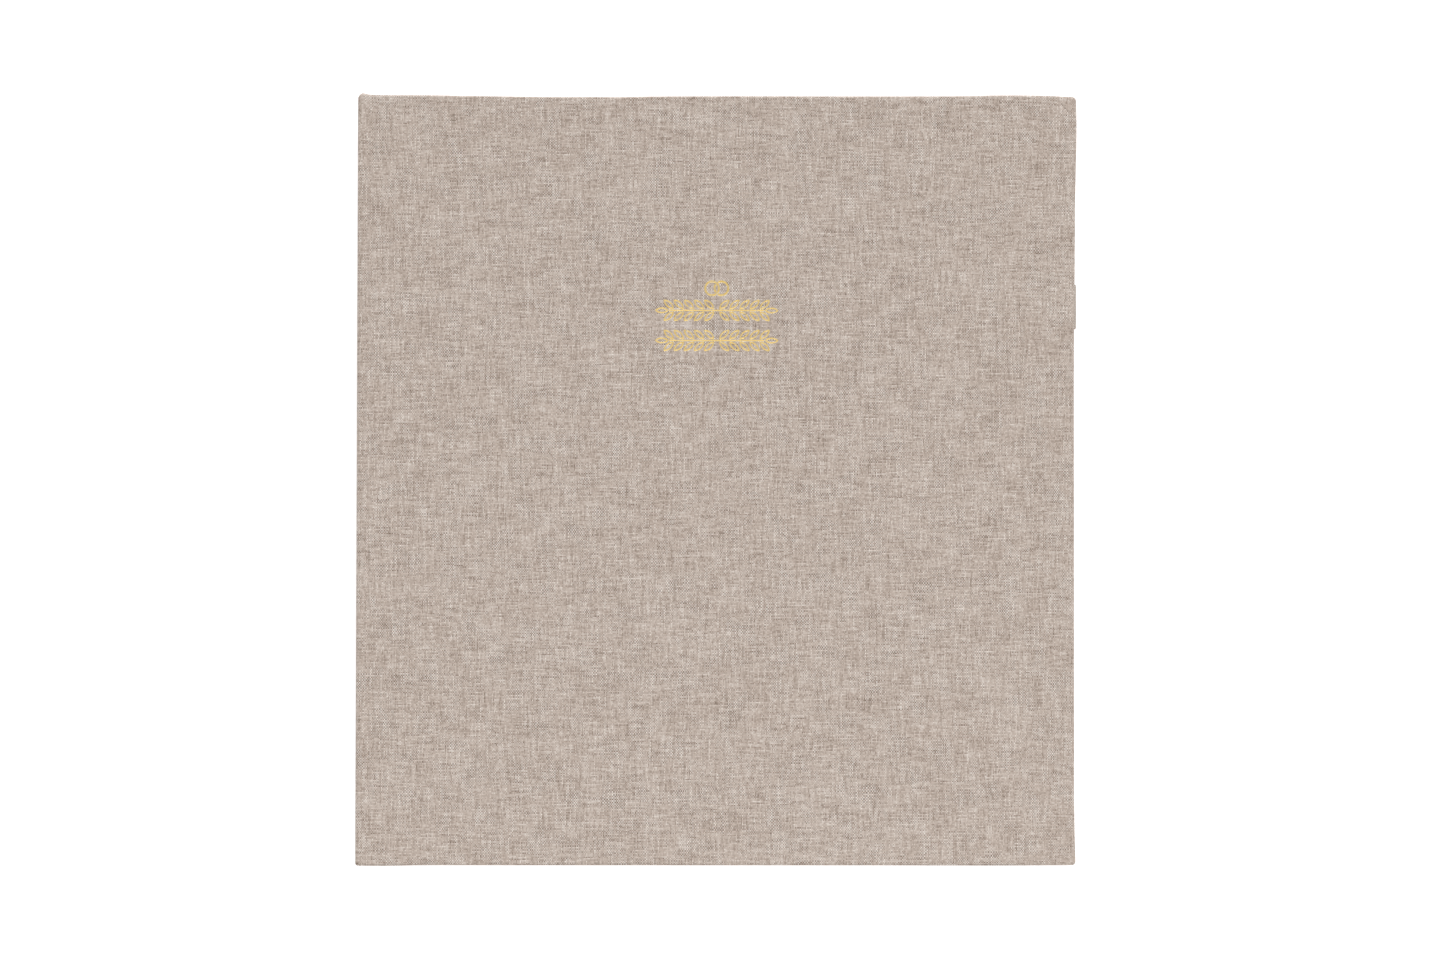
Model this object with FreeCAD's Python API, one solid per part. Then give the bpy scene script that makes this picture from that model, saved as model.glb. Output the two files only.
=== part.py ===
import FreeCAD, Part

import os

from FreeCAD import Vector

# Wedding guest book: a flat-backed, case-bound album in linen, closed and lying on its back cover.
# X runs from the spine (-X) to the fore-edge (+X), Y from tail to head, Z up. Millimetres.
# The origin is the middle of the resting face.

# Driving dimensions.
COVER_WIDTH = 279.0
COVER_HEIGHT = 298.5
THICKNESS = 28.0
LOOP_PROUD = 1.4  # how far the pen loop shows past the fore-edge
HEAD_CAP_PROUD = 0.8  # the linen rolled over the head of the spine
TAIL_CAP_PROUD = 0.3

CLOTH = 0.4
BOARD = 3.0
SPINE_BOARD = 2.2
SPINE_LINER = 0.3
FILLER = CLOTH  # the card that fills the ground between the turn-ins
PASTEDOWN = 0.3
TURN_IN = 15.0
PASTEDOWN_MARGIN = 3.0
CORNER_RADIUS = 1.2

HINGE_REACH = 3.6  # cloth that turns with the spine, measured from the hinge line
HINGE_START = 4.0  # where a cover begins, measured from the hinge line

PAGE_HEIGHT = 290.0
PAGE_BACK_GAP = 6.0  # outer face of the spine to the folded backs of the pages
FORE_EDGE_MARGIN = 5.5
FLYLEAF = 0.25
LEAF = 0.25
SIGNATURE = 1.68
SIGNATURES_PER_HALF = 5
TURNING_LEAVES = 4
LEAF_PITCH = 0.4
FOLD_RADIUS = 0.6
TAPE = 0.4
MULL = 0.4
BAND = 0.4
BAND_BEAD = 0.9  # radius of the headband's worked bead
BAND_TONGUE = 14.0
TAPE_WIDTH = 12.0
TAPE_PLACES = (-95.0, 0.0, 95.0)

LOOP_WIDTH = 17.1
LOOP_MIDDLE = 67.7
LOOP_TAPE = 0.8
LOOP_DEPTH = 6.4
LOOP_FOOT = 5.0
LOOP_TOP = 23.3
LOOP_CORNER = 2.0
LOOP_TONGUE = 16.0

FOIL = 0.05
FOIL_LINE = 0.45
FOIL_OFF_CENTRE = 0.3  # towards the fore-edge, from the middle of the cover
RING_RADIUS = 2.9
RING_MIDDLE_BELOW_HEAD = 74.8
GARLAND_WIDTH = 47.4
GARLANDS_BELOW_HEAD = (85.7, 97.4)
LEAFLETS_PER_SIDE = 5
LEAFLET_LENGTH = 4.9
LEAFLET_WIDTH = 2.1
LEAFLET_TILT = 42.0

# Places worked out from them.
X_SPINE = -(COVER_WIDTH + LOOP_PROUD) / 2
X_FORE = X_SPINE + COVER_WIDTH
Y_TAIL = -(COVER_HEIGHT + HEAD_CAP_PROUD + TAIL_CAP_PROUD) / 2 + TAIL_CAP_PROUD
Y_HEAD = Y_TAIL + COVER_HEIGHT
X_HINGE = X_SPINE + CLOTH
X_COVER = X_HINGE + HINGE_START
X_BACKS = X_SPINE + PAGE_BACK_GAP
X_PAGES = X_FORE - FORE_EDGE_MARGIN
Y_PAGES = PAGE_HEIGHT / 2
INNER_FACE = CLOTH + BOARD + FILLER + PASTEDOWN
Z_PAGES = INNER_FACE + 0.1
Z_PAGES_TOP = THICKNESS - INNER_FACE - 0.3
Z_LOWER_TOP = Z_PAGES + FLYLEAF + SIGNATURES_PER_HALF * SIGNATURE
Z_FIRST_LEAF = Z_LOWER_TOP + 0.15
Z_UPPER = Z_PAGES_TOP - FLYLEAF - SIGNATURES_PER_HALF * SIGNATURE


def box(x0, x1, y0, y1, z0, z1):
    return Part.makeBox(x1 - x0, y1 - y0, z1 - z0, Vector(x0, y0, z0))


def along_z(shape, radius, picked):
    """Rounds the upright edges whose middles pass the test."""
    edges = [
        e
        for e in shape.Edges
        if abs(e.tangentAt(e.FirstParameter).z) > 0.99 and picked(e.CenterOfMass)
    ]
    return shape.makeFillet(radius, edges)


def along_y(shape, radius, picked):
    """Rounds the edges that run from tail to head and whose middles pass the test."""
    edges = [
        e
        for e in shape.Edges
        if abs(e.tangentAt(e.FirstParameter).y) > 0.99 and picked(e.CenterOfMass)
    ]
    return shape.makeFillet(radius, edges)


def upper(shape):
    """The same shape on the front cover: turned over top to bottom about the middle of the thickness."""
    return shape.mirror(Vector(0, 0, THICKNESS / 2), Vector(0, 0, 1))


def keep(name, shape):
    """Writes one sub-part."""
    shape.exportStep(f"parts/{name}.step")


# The case: boards, linen, filler cards and pastedowns, modelled as the back cover.


def board():
    plate = box(X_COVER, X_FORE - CLOTH, Y_TAIL + CLOTH, Y_HEAD - CLOTH, CLOTH, CLOTH + BOARD)
    return along_z(plate, CORNER_RADIUS - CLOTH, lambda at: at.x > 0)


def loop_slot():
    """The recess in the back cover that takes the tongue of the pen loop."""
    half = LOOP_WIDTH / 2
    return box(
        X_FORE - FORE_EDGE_MARGIN - LOOP_TONGUE,
        X_FORE + CLOTH,
        LOOP_MIDDLE - half,
        LOOP_MIDDLE + half,
        CLOTH + BOARD + FILLER - LOOP_TAPE,
        LOOP_FOOT,
    )


def linen():
    """The cloth over one board, with its edges turned in over the inner face."""
    top = CLOTH + BOARD + CLOTH
    skin = box(X_COVER, X_FORE, Y_TAIL, Y_HEAD, 0, top)
    skin = along_z(skin, CORNER_RADIUS, lambda at: at.x > 0)
    skin = along_y(skin, CLOTH, lambda at: at.x > 0)
    ground = box(
        X_COVER, X_FORE - TURN_IN, Y_TAIL + TURN_IN, Y_HEAD - TURN_IN, CLOTH + BOARD, top
    )
    return skin.cut(board()).cut(ground)


def filler():
    return box(
        X_COVER + 0.2,
        X_FORE - TURN_IN - 0.2,
        Y_TAIL + TURN_IN + 0.2,
        Y_HEAD - TURN_IN - 0.2,
        CLOTH + BOARD,
        CLOTH + BOARD + FILLER,
    )


def pastedown():
    return box(
        X_COVER,
        X_FORE - PASTEDOWN_MARGIN,
        Y_TAIL + PASTEDOWN_MARGIN,
        Y_HEAD - PASTEDOWN_MARGIN,
        CLOTH + BOARD + FILLER,
        INNER_FACE,
    )


# The spine of the case.


def spine_board():
    z0 = CLOTH + HINGE_START
    return box(
        X_HINGE, X_HINGE + SPINE_BOARD, Y_TAIL + CLOTH, Y_HEAD - CLOTH, z0, THICKNESS - z0
    )


def spine_liner():
    x0 = X_HINGE + SPINE_BOARD
    z0 = CLOTH + HINGE_START
    return box(x0, x0 + SPINE_LINER, -Y_PAGES, Y_PAGES, z0, THICKNESS - z0)


def spine_linen():
    """The cloth over the spine: a channel that reaches a little way under and over it, rolled in at the
    head and tail."""
    reach = X_HINGE + HINGE_REACH
    channel = box(X_SPINE, reach, Y_TAIL, Y_HEAD, 0, THICKNESS)
    channel = along_y(channel, CLOTH, lambda at: at.x < X_HINGE)
    hollow = box(X_HINGE, reach, Y_TAIL, Y_HEAD, CLOTH, THICKNESS - CLOTH)
    skin = channel.cut(hollow)
    z0 = CLOTH + HINGE_START
    for y0, y1 in ((Y_HEAD - CLOTH, Y_HEAD + HEAD_CAP_PROUD), (Y_TAIL - TAIL_CAP_PROUD, Y_TAIL + CLOTH)):
        roll = box(X_SPINE + 0.2, X_HINGE + SPINE_BOARD, y0, y1, z0, THICKNESS - z0)
        skin = skin.fuse(roll)
    return skin.removeSplitter()


# The pages.


def folded(z0, z1):
    """A gathering of folded sheets, rounded along its back."""
    block = box(X_BACKS, X_PAGES, -Y_PAGES, Y_PAGES, z0, z1)
    return along_y(block, FOLD_RADIUS, lambda at: at.x < 0)


def sheet(z0, thickness):
    return box(X_BACKS, X_PAGES, -Y_PAGES, Y_PAGES, z0, z0 + thickness)


def tapes(z0, z1):
    """Three tapes down the backs, which the gatherings are sewn round."""
    return Part.makeCompound(
        [
            box(X_BACKS - TAPE, X_BACKS, y - TAPE_WIDTH / 2, y + TAPE_WIDTH / 2, z0, z1)
            for y in TAPE_PLACES
        ]
    )


def mull(z0, z1):
    """The open cotton cloth glued over the tapes."""
    length = Y_PAGES - BAND_TONGUE - 1.0
    return box(X_BACKS - TAPE - MULL, X_BACKS - TAPE, -length, length, z0, z1)


def end_band(side, z0, z1):
    """A headband (side +1) or tailband (side -1): a bead on the edge of the pages and a tongue down
    their backs."""
    edge = side * Y_PAGES
    bead_y = edge + side * BAND_BEAD
    bead = Part.makeCylinder(
        BAND_BEAD, z1 - z0, Vector(X_BACKS + BAND_BEAD - TAPE, bead_y, z0), Vector(0, 0, 1)
    )
    low = min(edge - side * BAND_TONGUE, bead_y)
    high = max(edge - side * BAND_TONGUE, bead_y)
    tongue = box(X_BACKS - TAPE - BAND, X_BACKS - TAPE, low, high, z0, z1)
    web = box(X_BACKS - TAPE, X_BACKS, min(edge, bead_y), max(edge, bead_y), z0, z1)
    return bead.fuse([tongue, web]).removeSplitter()


# The pen loop: a flat elastic folded into a tall loop, with its two ends under the pastedown.


def pen_loop():
    y0 = LOOP_MIDDLE - LOOP_WIDTH / 2
    x1 = X_FORE + LOOP_PROUD
    x0 = x1 - LOOP_DEPTH
    outer = box(x0, x1, y0, y0 + LOOP_WIDTH, LOOP_FOOT, LOOP_TOP)
    outer = along_y(outer, LOOP_CORNER, lambda at: True)
    inner = box(
        x0 + LOOP_TAPE,
        x1 - LOOP_TAPE,
        y0,
        y0 + LOOP_WIDTH,
        LOOP_FOOT + LOOP_TAPE,
        LOOP_TOP - LOOP_TAPE,
    )
    inner = along_y(inner, LOOP_CORNER - LOOP_TAPE, lambda at: True)
    under = CLOTH + BOARD + FILLER
    neck = box(x0 + 1.6, x0 + 3.2, y0, y0 + LOOP_WIDTH, under - LOOP_TAPE, LOOP_FOOT + 0.5)
    tongue = box(
        X_FORE - FORE_EDGE_MARGIN - LOOP_TONGUE,
        x0 + 3.2,
        y0,
        y0 + LOOP_WIDTH,
        under - LOOP_TAPE,
        under,
    )
    return outer.cut(inner).fuse([neck, tongue]).removeSplitter()


# The foil stamping on the front cover: two linked rings above two garlands of small leaves.


def foil_plate(outline, hole=None):
    face = Part.Face(Part.Wire(outline))
    if hole is not None:
        face = face.cut(Part.Face(Part.Wire(hole)))
    return face.extrude(Vector(0, 0, FOIL))


def circle(x, y, radius):
    return [Part.Circle(Vector(x, y, THICKNESS), Vector(0, 0, 1), radius).toShape()]


def rings(y):
    """Two rings of which the second passes under the first, so it is cut away beside it."""
    apart = RING_RADIUS * 0.62
    first = foil_plate(circle(-apart, y, RING_RADIUS), circle(-apart, y, RING_RADIUS - FOIL_LINE))
    second = foil_plate(circle(apart, y, RING_RADIUS), circle(apart, y, RING_RADIUS - FOIL_LINE))
    clearance = foil_plate(
        circle(-apart, y, RING_RADIUS + 0.25), circle(-apart, y, RING_RADIUS - FOIL_LINE - 0.25)
    )
    return [first] + second.cut(clearance).Solids


def leaflet(x, y, angle):
    """A pointed leaf drawn as an outline, with its stalk end at x, y."""

    def outline(length, width, start):
        tip = Vector(start + length, 0, THICKNESS)
        root = Vector(start, 0, THICKNESS)
        middle = start + length / 2
        over = Part.Arc(root, Vector(middle, width / 2, THICKNESS), tip).toShape()
        under = Part.Arc(tip, Vector(middle, -width / 2, THICKNESS), root).toShape()
        return [over, under]

    line = FOIL_LINE
    whole = foil_plate(
        outline(LEAFLET_LENGTH, LEAFLET_WIDTH, 0),
        outline(LEAFLET_LENGTH - 3.4 * line, LEAFLET_WIDTH - 2 * line, 1.7 * line),
    )
    whole.rotate(Vector(0, 0, 0), Vector(0, 0, 1), angle)
    whole.translate(Vector(x, y, 0))
    return whole


def garland(y):
    """A straight stem with pairs of leaves that lean away from its middle."""
    half = GARLAND_WIDTH / 2
    stem_end = half - LEAFLET_LENGTH - 0.3
    stem = box(-stem_end, stem_end, y - FOIL_LINE / 2, y + FOIL_LINE / 2, THICKNESS, THICKNESS + FOIL)
    pieces = [stem, leaflet(stem_end + 0.3, y, 0), leaflet(-stem_end - 0.3, y, 180)]
    lift = FOIL_LINE / 2 + 0.35
    for place in range(LEAFLETS_PER_SIDE):
        x = 1.2 + place * (stem_end - 3.0) / (LEAFLETS_PER_SIDE - 1)
        for side in (1, -1):
            pieces.append(leaflet(side * x, y + lift, 90 - side * (90 - LEAFLET_TILT)))
            pieces.append(leaflet(side * x, y - lift, -90 + side * (90 - LEAFLET_TILT)))
    return pieces


def foil_ornament():
    pieces = rings(Y_HEAD - RING_MIDDLE_BELOW_HEAD)
    for below in GARLANDS_BELOW_HEAD:
        pieces += garland(Y_HEAD - below)
    ornament = Part.makeCompound(pieces)
    ornament.translate(Vector((X_SPINE + X_FORE) / 2 + FOIL_OFF_CENTRE, 0, 0))
    return ornament


os.makedirs("parts", exist_ok=True)

keep("back_board", board().cut(loop_slot()))
keep("back_linen", linen().cut(loop_slot()))
keep("back_filler", filler().cut(pen_loop()))
keep("back_pastedown", pastedown().cut(pen_loop()))
keep("front_board", upper(board()))
keep("front_linen", upper(linen()))
keep("front_filler", upper(filler()))
keep("front_pastedown", upper(pastedown()))
keep("foil_ornament", foil_ornament())

keep("spine_board", spine_board())
keep("spine_liner", spine_liner())
keep("spine_linen", spine_linen())

keep("pen_loop", pen_loop())

keep("back_flyleaf", sheet(Z_PAGES, FLYLEAF))
keep("front_flyleaf", sheet(Z_PAGES_TOP - FLYLEAF, FLYLEAF))
for number in range(SIGNATURES_PER_HALF):
    low = Z_PAGES + FLYLEAF + number * SIGNATURE
    keep(f"signature_{number + 1:02d}", folded(low, low + SIGNATURE))
    low = Z_UPPER + number * SIGNATURE
    keep(f"signature_{SIGNATURES_PER_HALF + number + 1:02d}", folded(low, low + SIGNATURE))
for number in range(TURNING_LEAVES):
    keep(f"leaf_{number + 1}", sheet(Z_FIRST_LEAF + number * LEAF_PITCH, LEAF))

for half, z0, z1 in (("lower", Z_PAGES, Z_LOWER_TOP), ("upper", Z_UPPER, Z_PAGES_TOP)):
    keep(f"sewing_tapes_{half}", tapes(z0, z1))
    keep(f"mull_{half}", mull(z0, z1))
    keep(f"headband_{half}", end_band(1, z0, z1))
    keep(f"tailband_{half}", end_band(-1, z0, z1))

print("spine hinge lines at x", X_HINGE, "z", CLOTH, "and", THICKNESS - CLOTH)
print("backs of the pages at x", X_BACKS, "lower top", Z_LOWER_TOP, "upper from", Z_UPPER)
print("cover x", X_COVER, X_FORE, "y", Y_TAIL, Y_HEAD, "pages to x", X_PAGES)
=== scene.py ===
import math
import random

import bmesh
import bpy
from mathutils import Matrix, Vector


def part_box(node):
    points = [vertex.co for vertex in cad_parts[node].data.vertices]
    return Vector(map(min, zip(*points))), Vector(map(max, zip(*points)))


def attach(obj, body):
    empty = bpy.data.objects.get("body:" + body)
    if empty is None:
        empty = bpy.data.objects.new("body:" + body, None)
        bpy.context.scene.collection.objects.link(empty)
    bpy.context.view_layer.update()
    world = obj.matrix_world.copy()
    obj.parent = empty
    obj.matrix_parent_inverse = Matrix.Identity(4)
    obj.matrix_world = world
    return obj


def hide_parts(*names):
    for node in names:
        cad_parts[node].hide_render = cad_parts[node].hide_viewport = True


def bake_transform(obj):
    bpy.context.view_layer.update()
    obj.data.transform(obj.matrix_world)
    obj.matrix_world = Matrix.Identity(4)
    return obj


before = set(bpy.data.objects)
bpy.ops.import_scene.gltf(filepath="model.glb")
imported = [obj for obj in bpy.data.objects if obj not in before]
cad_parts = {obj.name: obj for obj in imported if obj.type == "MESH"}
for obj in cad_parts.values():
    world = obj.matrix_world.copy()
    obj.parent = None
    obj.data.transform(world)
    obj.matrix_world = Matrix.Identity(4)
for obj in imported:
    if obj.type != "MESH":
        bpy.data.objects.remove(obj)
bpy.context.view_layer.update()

# Wedding guest book in slubbed linen: closed, lying on its back cover, spine at -X, head at +Y.
# Everything is in metres; MM turns millimetres into them.
MM = 0.001

CLOTH = 0.4 * MM
TURN_IN = 15 * MM
BOARD_EDGE = 0.8 * MM  # how round the linen runs over the outer edges of the boards
INNER_EDGE = 0.7 * MM  # and over their inner edges
SPINE_EDGE = 1.5 * MM
CORNER = 1.6 * MM  # corners of the covers, seen from above
JOINT_DEPTH = 2.2 * MM  # the folded linen where it crosses the joint
SPINE_DEPTH = 3.0 * MM

WARP = 0.477  # millimetres from thread to thread
WEFT = 0.552

spine_low, spine_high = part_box("spine_linen")
cover_low, cover_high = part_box("front_linen")
page_low, page_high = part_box("leaf_1")
X_SPINE = spine_low.x
X_COVER = cover_low.x
X_FORE = cover_high.x
Y_TAIL = cover_low.y
Y_HEAD = cover_high.y
Z_TOP = cover_high.z
Z_MIDDLE = Z_TOP / 2
COVER_DEPTH = cover_high.z - cover_low.z


# Mesh building.


class Skin:
    """Patches of points sewn into one mesh. A patch is rows of (place, (across, along)), where the pair
    is the point's place on the flat cloth or paper, in millimetres."""

    def __init__(self):
        self.points = []
        self.faces = []
        self.flat = []

    def patch(self, rows, closed=False, flip=False):
        start = len(self.points)
        wide = len(rows[0])
        for row in rows:
            for place, flat in row:
                self.points.append(place)
                self.flat.append(flat)
        across = wide if closed else wide - 1
        for r in range(len(rows) - 1):
            for c in range(across):
                d = (c + 1) % wide
                face = [start + r * wide + c, start + r * wide + d]
                face += [start + (r + 1) * wide + d, start + (r + 1) * wide + c]
                self.faces.append(face[::-1] if flip else face)

    def cap(self, row, flip=False):
        start = len(self.points)
        for place, flat in row:
            self.points.append(place)
            self.flat.append(flat)
        face = list(range(start, start + len(row)))
        self.faces.append(face[::-1] if flip else face)

    def piece(self, name, finish, merge=0.002 * MM, smooth=True, outward=False):
        mesh = bpy.data.meshes.new(name)
        mesh.from_pydata(self.points, [], self.faces)
        layer = mesh.uv_layers.new(name="flat")
        for loop in mesh.loops:
            layer.data[loop.index].uv = self.flat[loop.vertex_index]
        sewn = bmesh.new()
        sewn.from_mesh(mesh)
        bmesh.ops.remove_doubles(sewn, verts=sewn.verts, dist=merge)
        bmesh.ops.dissolve_degenerate(sewn, edges=sewn.edges, dist=merge / 2)
        if outward:
            bmesh.ops.recalc_face_normals(sewn, faces=sewn.faces)
        sewn.to_mesh(mesh)
        sewn.free()
        for polygon in mesh.polygons:
            polygon.use_smooth = smooth
        mesh.materials.append(finish)
        made = bpy.data.objects.new(name, mesh)
        bpy.context.scene.collection.objects.link(made)
        return made


def parts(start, end, count):
    """The ends of count equal parts of the way from start to end."""
    return [start + (end - start) * k / count for k in range(count + 1)]


def steps(start, end, size):
    """Evenly spaced values from start to end, at most size apart."""
    return parts(start, end, max(1, math.ceil(abs(end - start) / size - 1e-9)))


def arc(radius, count, start=0.0, end=math.pi / 2):
    """(sine, cosine) pairs scaled by radius."""
    return [
        (radius * math.sin(a), radius * math.cos(a)) for a in steps(start, end, (end - start) / count)
    ]


def ease(t):
    t = min(1.0, max(0.0, t))
    return t * t * (3 - 2 * t)


def hump(t, middle, width):
    return math.exp(-(((t - middle) / width) ** 2))


# Shader building.


def joined(tree, socket, value):
    """Links a socket to another, or sets its value."""
    if isinstance(value, bpy.types.NodeSocket):
        tree.links.new(value, socket)
    elif value is not None:
        socket.default_value = value


def maths(tree, operation, *values, clamp=False):
    node = tree.nodes.new("ShaderNodeMath")
    node.operation = operation
    node.use_clamp = clamp
    for socket, value in zip(node.inputs, values):
        joined(tree, socket, value)
    return node.outputs[0]


def mixed(tree, share, first, second, kind="RGBA", blend="MIX"):
    node = tree.nodes.new("ShaderNodeMix")
    node.data_type = kind
    if kind == "RGBA":
        node.blend_type = blend
    chosen = [s for s in node.inputs if s.enabled]
    for socket, value in zip(chosen, (share, first, second)):
        joined(tree, socket, value)
    return next(s for s in node.outputs if s.enabled)


def ranged(tree, value, low, high, to_low=0.0, to_high=1.0):
    node = tree.nodes.new("ShaderNodeMapRange")
    for socket, given in zip(node.inputs, (value, low, high, to_low, to_high)):
        joined(tree, socket, given)
    return node.outputs[0]


def vector(tree, x=0.0, y=0.0, z=0.0):
    node = tree.nodes.new("ShaderNodeCombineXYZ")
    for socket, value in zip(node.inputs, (x, y, z)):
        joined(tree, socket, value)
    return node.outputs[0]


def noise(tree, place, scale=1.0, detail=2.0, roughness=0.5):
    node = tree.nodes.new("ShaderNodeTexNoise")
    for name, value in (("Vector", place), ("Scale", scale), ("Detail", detail), ("Roughness", roughness)):
        joined(tree, node.inputs[name], value)
    return node.outputs["Fac"]


def chance(tree, value, seed=0.0):
    """A value from 0 to 1 that differs from one whole number to the next."""
    node = tree.nodes.new("ShaderNodeTexWhiteNoise")
    node.noise_dimensions = "2D"
    joined(tree, node.inputs["Vector"], vector(tree, value, seed))
    return node.outputs["Value"]


def group(name, inputs, outputs):
    """A shader node group with named sockets. Returns its tree, its inputs by name and its output node."""
    tree = bpy.data.node_groups.new(name, "ShaderNodeTree")
    for label, kind, value in inputs:
        socket = tree.interface.new_socket(name=label, in_out="INPUT", socket_type=f"NodeSocket{kind}")
        if value is not None:
            socket.default_value = value
    for label, kind in outputs:
        tree.interface.new_socket(name=label, in_out="OUTPUT", socket_type=f"NodeSocket{kind}")
    given = tree.nodes.new("NodeGroupInput").outputs
    return tree, given, tree.nodes.new("NodeGroupOutput")


def placed(tree, made, **values):
    """Puts a node group in a material. Its sockets are named with spaces for underscores."""
    node = tree.nodes.new("ShaderNodeGroup")
    node.node_tree = made
    for name, value in values.items():
        joined(tree, node.inputs[name.replace("_", " ")], value)
    return node.outputs


def weave_group():
    """Plain weave of slubbed threads. Flat is the place on the cloth in millimetres. Tone is the thread's
    shade from 0, dark, to 1, pale, with painted shading of the thread crowns in it; Height is the cloth's
    surface; Gap is 1 between threads."""
    tree, given, out = group(
        "plain_weave",
        [
            ("Flat", "Vector", None),
            ("Warp", "Float", WARP),
            ("Weft", "Float", WEFT),
            ("Speckle", "Float", 0.30),
            ("Streak", "Float", 1.25),
            ("Contrast", "Float", 0.26),
            ("Cloud", "Float", 0.12),
        ],
        [("Tone", "Float"), ("Height", "Float"), ("Gap", "Float")],
    )
    split = tree.nodes.new("ShaderNodeSeparateXYZ")
    joined(tree, split.inputs[0], given["Flat"])
    u, v = split.outputs[0], split.outputs[1]
    sway = []
    for slow, seed in (((0.12, 0.03, 0.0), 3.0), ((0.03, 0.12, 0.0), 9.0)):
        place = tree.nodes.new("ShaderNodeVectorMath")
        place.operation = "MULTIPLY_ADD"
        for socket, value in zip(place.inputs, (given["Flat"], slow, (seed, seed, seed))):
            joined(tree, socket, value)
        sway.append(maths(tree, "MULTIPLY", noise(tree, place.outputs[0]), 3.6))
    a = maths(tree, "ADD", maths(tree, "DIVIDE", u, given["Warp"]), sway[0])
    b = maths(tree, "ADD", maths(tree, "DIVIDE", v, given["Weft"]), sway[1])
    threads = []
    rounds = []
    tones = []
    for across, along, seed in ((a, v, 11.0), (b, u, 47.0)):
        thread = maths(tree, "FLOOR", across)
        threads.append(thread)
        rounds.append(maths(tree, "SINE", maths(tree, "MULTIPLY", maths(tree, "FRACT", across), math.pi)))
        thick_at = vector(tree, maths(tree, "MULTIPLY", thread, 7.31), maths(tree, "MULTIPLY", along, 0.11), seed)
        fibre_at = vector(tree, maths(tree, "MULTIPLY", thread, 3.77), maths(tree, "MULTIPLY", along, 0.9), seed)
        slub = noise(tree, thick_at, 1.0, 1.0)
        fibre = noise(tree, fibre_at)
        tone = maths(tree, "SUBTRACT", maths(tree, "ADD", slub, maths(tree, "MULTIPLY", fibre, 0.5)), 0.75)
        # The yarn's own fibres, lightly twisted.
        lay = maths(tree, "ADD", maths(tree, "MULTIPLY", across, 4.0), maths(tree, "MULTIPLY", along, 2.6))
        hairs = noise(tree, vector(tree, lay, maths(tree, "MULTIPLY", along, 1.1), seed), 1.0, 1.0)
        hairs = maths(tree, "MULTIPLY", maths(tree, "SUBTRACT", hairs, 0.5), 0.55)
        tones.append(maths(tree, "ADD", maths(tree, "MULTIPLY", tone, given["Streak"]), hairs))
    odd = maths(tree, "PINGPONG", maths(tree, "ADD", threads[0], threads[1]), 1.0)
    warp_up = maths(tree, "GREATER_THAN", odd, 0.5)
    # Each thread is round across its own way and rises and dives along it; the higher of the two shows.
    swing = maths(tree, "MULTIPLY", maths(tree, "SUBTRACT", warp_up, 0.5), 0.8)
    tops = []
    for own, other, way in ((rounds[0], rounds[1], 1.0), (rounds[1], rounds[0], -1.0)):
        ridge = maths(tree, "MULTIPLY", maths(tree, "POWER", maths(tree, "MAXIMUM", own, 0.0), 0.6), 0.6)
        wave = maths(tree, "MULTIPLY", maths(tree, "MULTIPLY", swing, way), other)
        tops.append(maths(tree, "ADD", ridge, wave))
    height = maths(tree, "MAXIMUM", tops[0], tops[1])
    share = ranged(tree, maths(tree, "GREATER_THAN", tops[0], tops[1]), 0.0, 1.0, 0.16, 0.84)
    tone = mixed(tree, share, tones[1], tones[0], "FLOAT")
    crown = chance(tree, maths(tree, "ADD", threads[0], 0.5), maths(tree, "ADD", threads[1], 0.5))
    speckle = maths(tree, "MULTIPLY", maths(tree, "SUBTRACT", crown, 0.5), given["Speckle"])
    # Painted shading: warp-up cells are lighter and weft-up cells darker, as the side light falls on the thread
    # crowns; the difference is stronger in some places than in others.
    patch = ranged(tree, noise(tree, given["Flat"], 0.11, 2.0), 0.35, 0.68, 0.1, 1.9)
    patch = maths(tree, "MULTIPLY", patch, given["Contrast"])
    painted_crown_shade = maths(tree, "MULTIPLY", maths(tree, "SUBTRACT", warp_up, 0.5), patch)
    cloud = maths(tree, "SUBTRACT", noise(tree, given["Flat"], 0.06, 2.0), 0.5)
    cloud = maths(tree, "MULTIPLY", cloud, given["Cloud"])
    for part in (speckle, painted_crown_shade, cloud, 0.5):
        tone = maths(tree, "ADD", tone, part)
    joined(tree, out.inputs["Tone"], maths(tree, "ADD", tone, 0.0, clamp=True))
    joined(tree, out.inputs["Height"], height)
    joined(tree, out.inputs["Gap"], ranged(tree, height, 0.1, 0.72, 1.0, 0.0))
    return tree


def paper_group():
    """Uncoated paper or board: Fibre is its fine cloudy tone, Height its tooth."""
    tree, given, out = group(
        "paper_fibre",
        [("Place", "Vector", None), ("Scale", "Float", 900.0), ("Clouds", "Float", 60.0)],
        [("Fibre", "Float"), ("Height", "Float"), ("Fleck", "Float")],
    )
    tooth = noise(tree, given["Place"], given["Scale"], 4.0, 0.65)
    clouds = noise(tree, given["Place"], given["Clouds"], 3.0, 0.55)
    fibre = maths(tree, "ADD", maths(tree, "MULTIPLY", tooth, 0.5), maths(tree, "MULTIPLY", clouds, 0.5))
    flecks = noise(tree, given["Place"], maths(tree, "MULTIPLY", given["Scale"], 0.6), 1.0, 0.5)
    joined(tree, out.inputs["Fibre"], fibre)
    joined(tree, out.inputs["Height"], tooth)
    joined(tree, out.inputs["Fleck"], ranged(tree, flecks, 0.70, 0.76))
    return tree


def finish(name, roughness, **sockets):
    """A new material with its Principled shader, on which plain values are set."""
    made = bpy.data.materials.new(name)
    made.use_nodes = True
    tree = made.node_tree
    shader = tree.nodes["Principled BSDF"]
    shader.inputs["Roughness"].default_value = roughness
    for socket, value in sockets.items():
        shader.inputs[socket.replace("_", " ")].default_value = value
    return made, tree, shader


def flat_place(tree):
    node = tree.nodes.new("ShaderNodeUVMap")
    node.uv_map = "flat"
    return node.outputs[0]


def own_place(tree):
    return tree.nodes.new("ShaderNodeTexCoord").outputs["Object"]


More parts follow.
